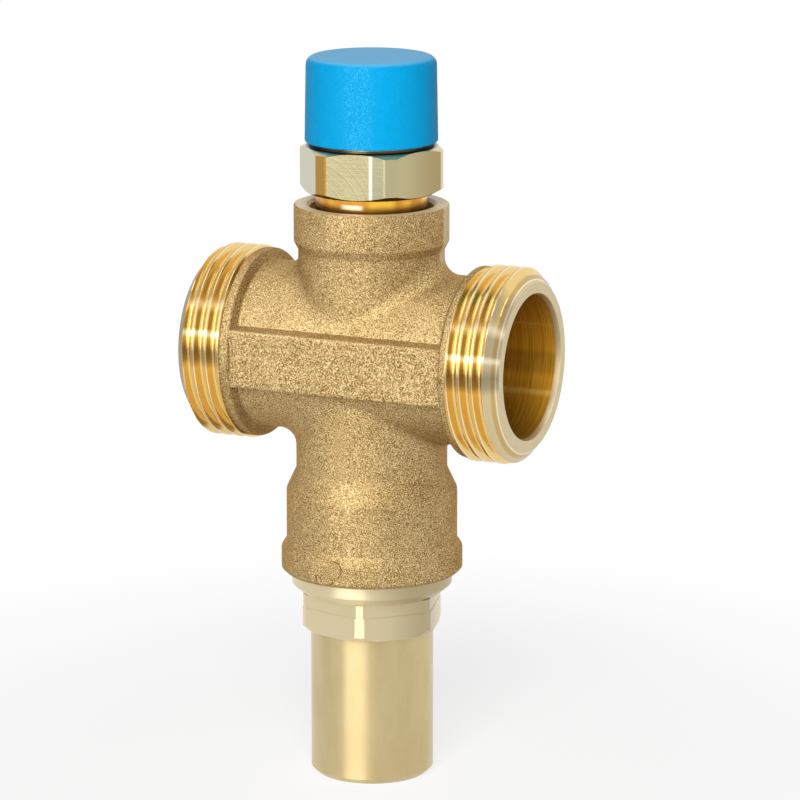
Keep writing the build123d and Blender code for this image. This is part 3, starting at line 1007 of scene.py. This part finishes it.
def makeSpring(name, spring):
    steps, sides, closed = coiling["steps"], coiling["sides"], coiling["closed"]
    wire = spring["wire"] / 2
    foot, head = sorted((spring["still"], spring["moving"]))
    low, high = foot + wire * 0.5, head - wire * 0.5
    mesh = bmesh.new()
    rings = []
    for step in range(spring["turns"] * steps + 1):
        turn = step / steps
        rise = min(max((turn - closed) / (spring["turns"] - 2 * closed), 0), 1)
        lift = turn / spring["turns"] * coiling["closedRise"] + rise * (1 - coiling["closedRise"])
        centre = low + (high - low) * lift
        angle = 2 * math.pi * turn
        points = []
        for side in range(sides):
            around = 2 * math.pi * side / sides
            radius = spring["mean"] / 2 + wire * math.cos(around)
            height = min(max(centre + wire * math.sin(around), foot), head)
            point = Vector((radius * math.cos(angle), radius * math.sin(angle), height))
            points.append(mesh.verts.new(point * mm))
        rings.append(points)
    for near, far in zip(rings, rings[1:]):
        for side in range(sides):
            mesh.faces.new((near[side], far[side], far[side - 1], near[side - 1]))
    mesh.faces.new(rings[0])
    mesh.faces.new(rings[-1][::-1])
    bmesh.ops.recalc_face_normals(mesh, faces=mesh.faces)
    for face in mesh.faces:
        face.smooth = len(face.verts) == 4
    made = bpy.data.meshes.new(name)
    mesh.to_mesh(made)
    mesh.free()
    made.materials.append(steel)
    coil = bpy.data.objects.new(name, made)
    scene.collection.objects.link(coil)
    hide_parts(spring["node"])
    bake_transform(coil)


for name, spring in springs.items():
    makeSpring(name, spring)
print("valve: springs made")

# Floor, backdrop, light and camera

stage = {
    "size": 6.0,  # metres
    "floor": 0.9,
    "shadow": 0.22,  # a soft shadow about the valve's foot, and how far it spreads
    "shadowFrom": 40,
    "shadowTo": 160,
    "room": 0.1,  # light from all sides
}
bpy.ops.mesh.primitive_plane_add(size=stage["size"])
floor = bpy.context.object
floor.name = "floor"


def seenRays(tree):  # one for rays from the camera, in a reflection or through glass
    light = tree.node("ShaderNodeLightPath").socket.node.outputs
    names = ("Is Camera Ray", "Is Glossy Ray", "Is Transmission Ray")
    camera, glossy, through = (Wire(tree, light[name]) for name in names)
    return camera.most(glossy).most(through)


def floorFinish():
    tree = finish("floorWhite")
    x, y, z = tree.split(tree.place())
    distance = (x * x + y * y).root()
    shadow = distance.ease(stage["shadowFrom"], stage["shadowTo"], stage["shadow"], 0.0)
    grey = stage["floor"]
    lit = tree.node("ShaderNodeBsdfDiffuse", {}, {"Color": (grey, grey, grey, 1)})
    white = tree.node("ShaderNodeEmission", {}, {"Color": (1, 1, 1, 1), "Strength": 1.0})
    share = seenRays(tree) * (1 - shadow)
    tree.close(tree.node("ShaderNodeMixShader", {}, {0: share, 1: lit, 2: white}))
    return tree.owner


floor.data.materials.append(floorFinish())

world = bpy.data.worlds.new("studio")
scene.world = world
tree = Tree(world)
shown = tree.node("ShaderNodeBackground", {}, {"Color": (1, 1, 1, 1), "Strength": 1.0})
around = tree.node("ShaderNodeBackground", {}, {"Color": (1, 1, 1, 1), "Strength": stage["room"]})
studio = tree.node("ShaderNodeMixShader", {}, {0: seenRays(tree), 1: around, 2: shown})
tree.close(studio, "ShaderNodeOutputWorld")

lamps = {  # angles in degrees, sizes in metres, power in watts
    "shine": {
        "turn": -7,
        "rise": 22,
        "width": 0.9,
        "height": 1.1,
        "power": 9.5,
        "seenBy": "glossy",
    },
    "top": {
        "turn": 0,
        "rise": 82,
        "width": 0.9,
        "height": 0.7,
        "power": 5,
        "seenBy": "glossy",
    },
    "key": {
        "turn": 18,
        "rise": 30,
        "width": 0.7,
        "height": 0.6,
        "power": 18,
        "seenBy": "diffuse",
    },
}
lampDistance = 1.2
middle = Vector((0, 0, 0.065))  # what the lamps face


def outward(turn, rise):  # turn is measured from -Y towards +X
    turn, rise = math.radians(turn), math.radians(rise)
    return Vector((math.sin(turn) * math.cos(rise), -math.cos(turn) * math.cos(rise), math.sin(rise)))


for name, lamp in lamps.items():
    light = bpy.data.lights.new(name, "AREA")
    light.shape = "RECTANGLE"
    light.size, light.size_y, light.energy = lamp["width"], lamp["height"], lamp["power"]
    holder = bpy.data.objects.new(name, light)
    away = outward(lamp["turn"], lamp["rise"])
    holder.location = middle + away * lampDistance
    holder.rotation_euler = away.to_track_quat("Z", "Y").to_euler()
    holder.visible_glossy = lamp["seenBy"] == "glossy"
    holder.visible_diffuse = lamp["seenBy"] == "diffuse"
    scene.collection.objects.link(holder)

view = {
    "turn": 25.03,
    "away": 700,
    "above": 150.4,  # the pipe's axis
    "pitch": 12.78,
    "aside": 0.39,
    "lens": 191.06,
    "sensor": 36,
    "sees": (0.05, 20),  # nearest and farthest, in metres
}
camera = bpy.data.objects.new("camera", bpy.data.cameras.new("camera"))
camera.data.lens = view["lens"]
camera.data.sensor_width = view["sensor"]
camera.data.clip_start, camera.data.clip_end = view["sees"]
turn = math.radians(view["turn"])
across, back = view["away"] * math.sin(turn), -view["away"] * math.cos(turn)
camera.location = Vector((across, back, pipeAxis + view["above"])) * mm
tilt, heading = math.radians(90 - view["pitch"]), math.radians(view["turn"] - view["aside"])
camera.rotation_euler = Euler((tilt, 0, heading), "XYZ")
scene.collection.objects.link(camera)
scene.camera = camera
scene.view_settings.view_transform = "Standard"
print("valve: stage set")
